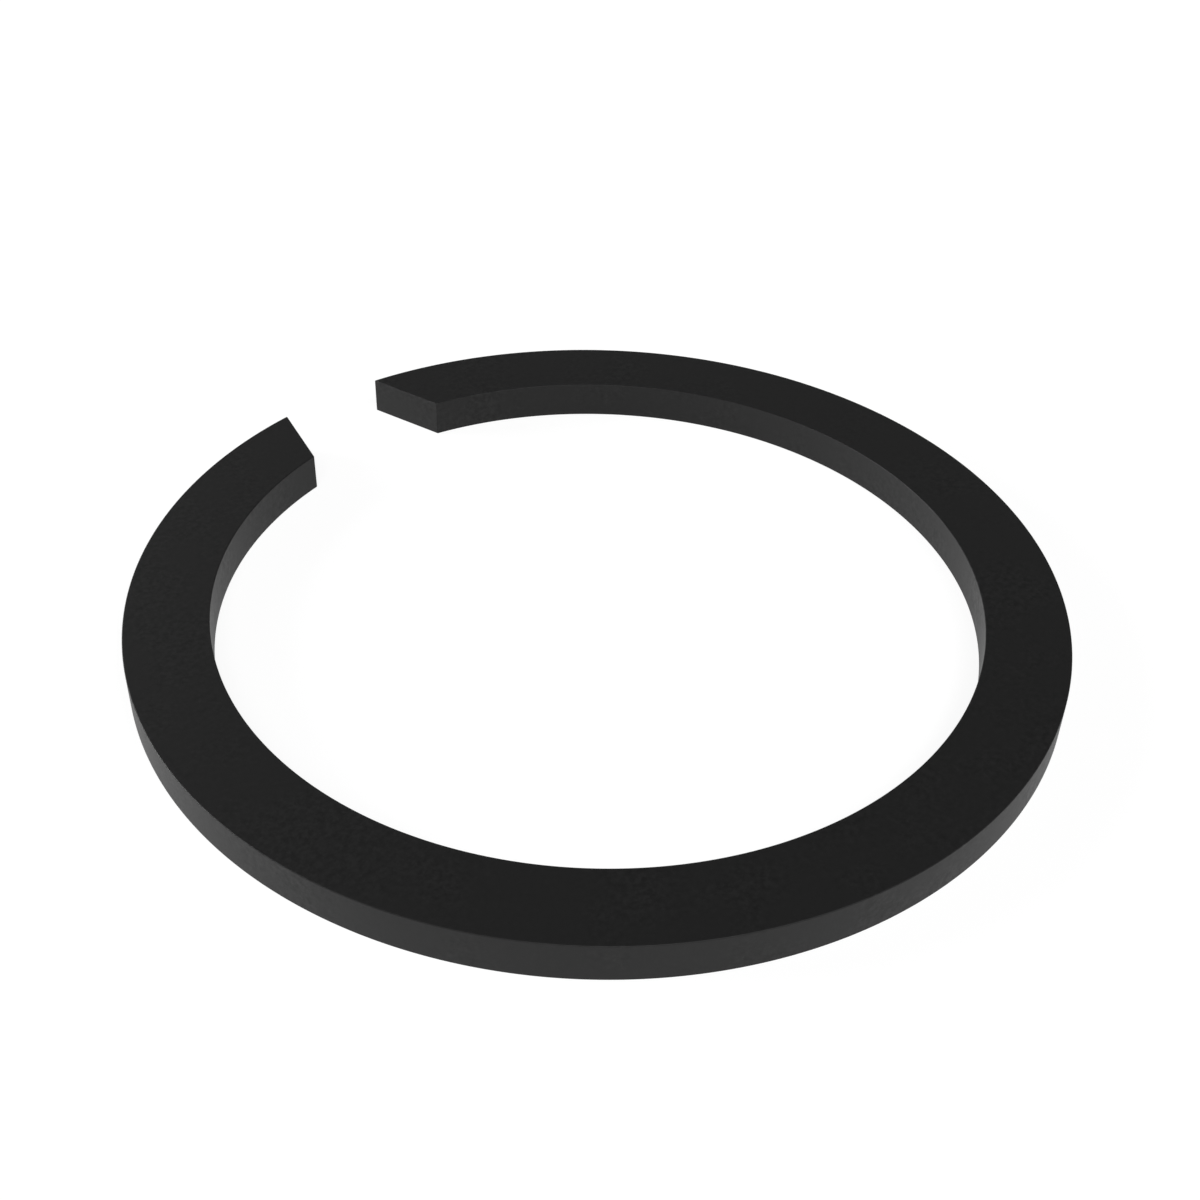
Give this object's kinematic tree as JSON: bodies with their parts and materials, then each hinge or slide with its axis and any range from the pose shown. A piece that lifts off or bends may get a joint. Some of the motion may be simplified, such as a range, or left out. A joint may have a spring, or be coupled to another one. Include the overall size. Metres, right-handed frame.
{
  "type": "snap ring",
  "caption": "Flat split ring of constant rectangular section with bevelled ends, which springs into a shaft groove to hold a part in place.",
  "frame": {"origin": "on the ring's axis, in the plane of its lower face", "axes": "+Z along the ring's axis and through its thickness, +Y from the axis to the middle of the gap between the ends, +X across the gap"},
  "size_m": [0.0358, 0.0355, 0.0016],
  "materials": {
    "black_spring_steel": "satin"
  },
  "bodies": {
    "root": {"snap_ring": "black_spring_steel"}
  },
  "joints": []
}
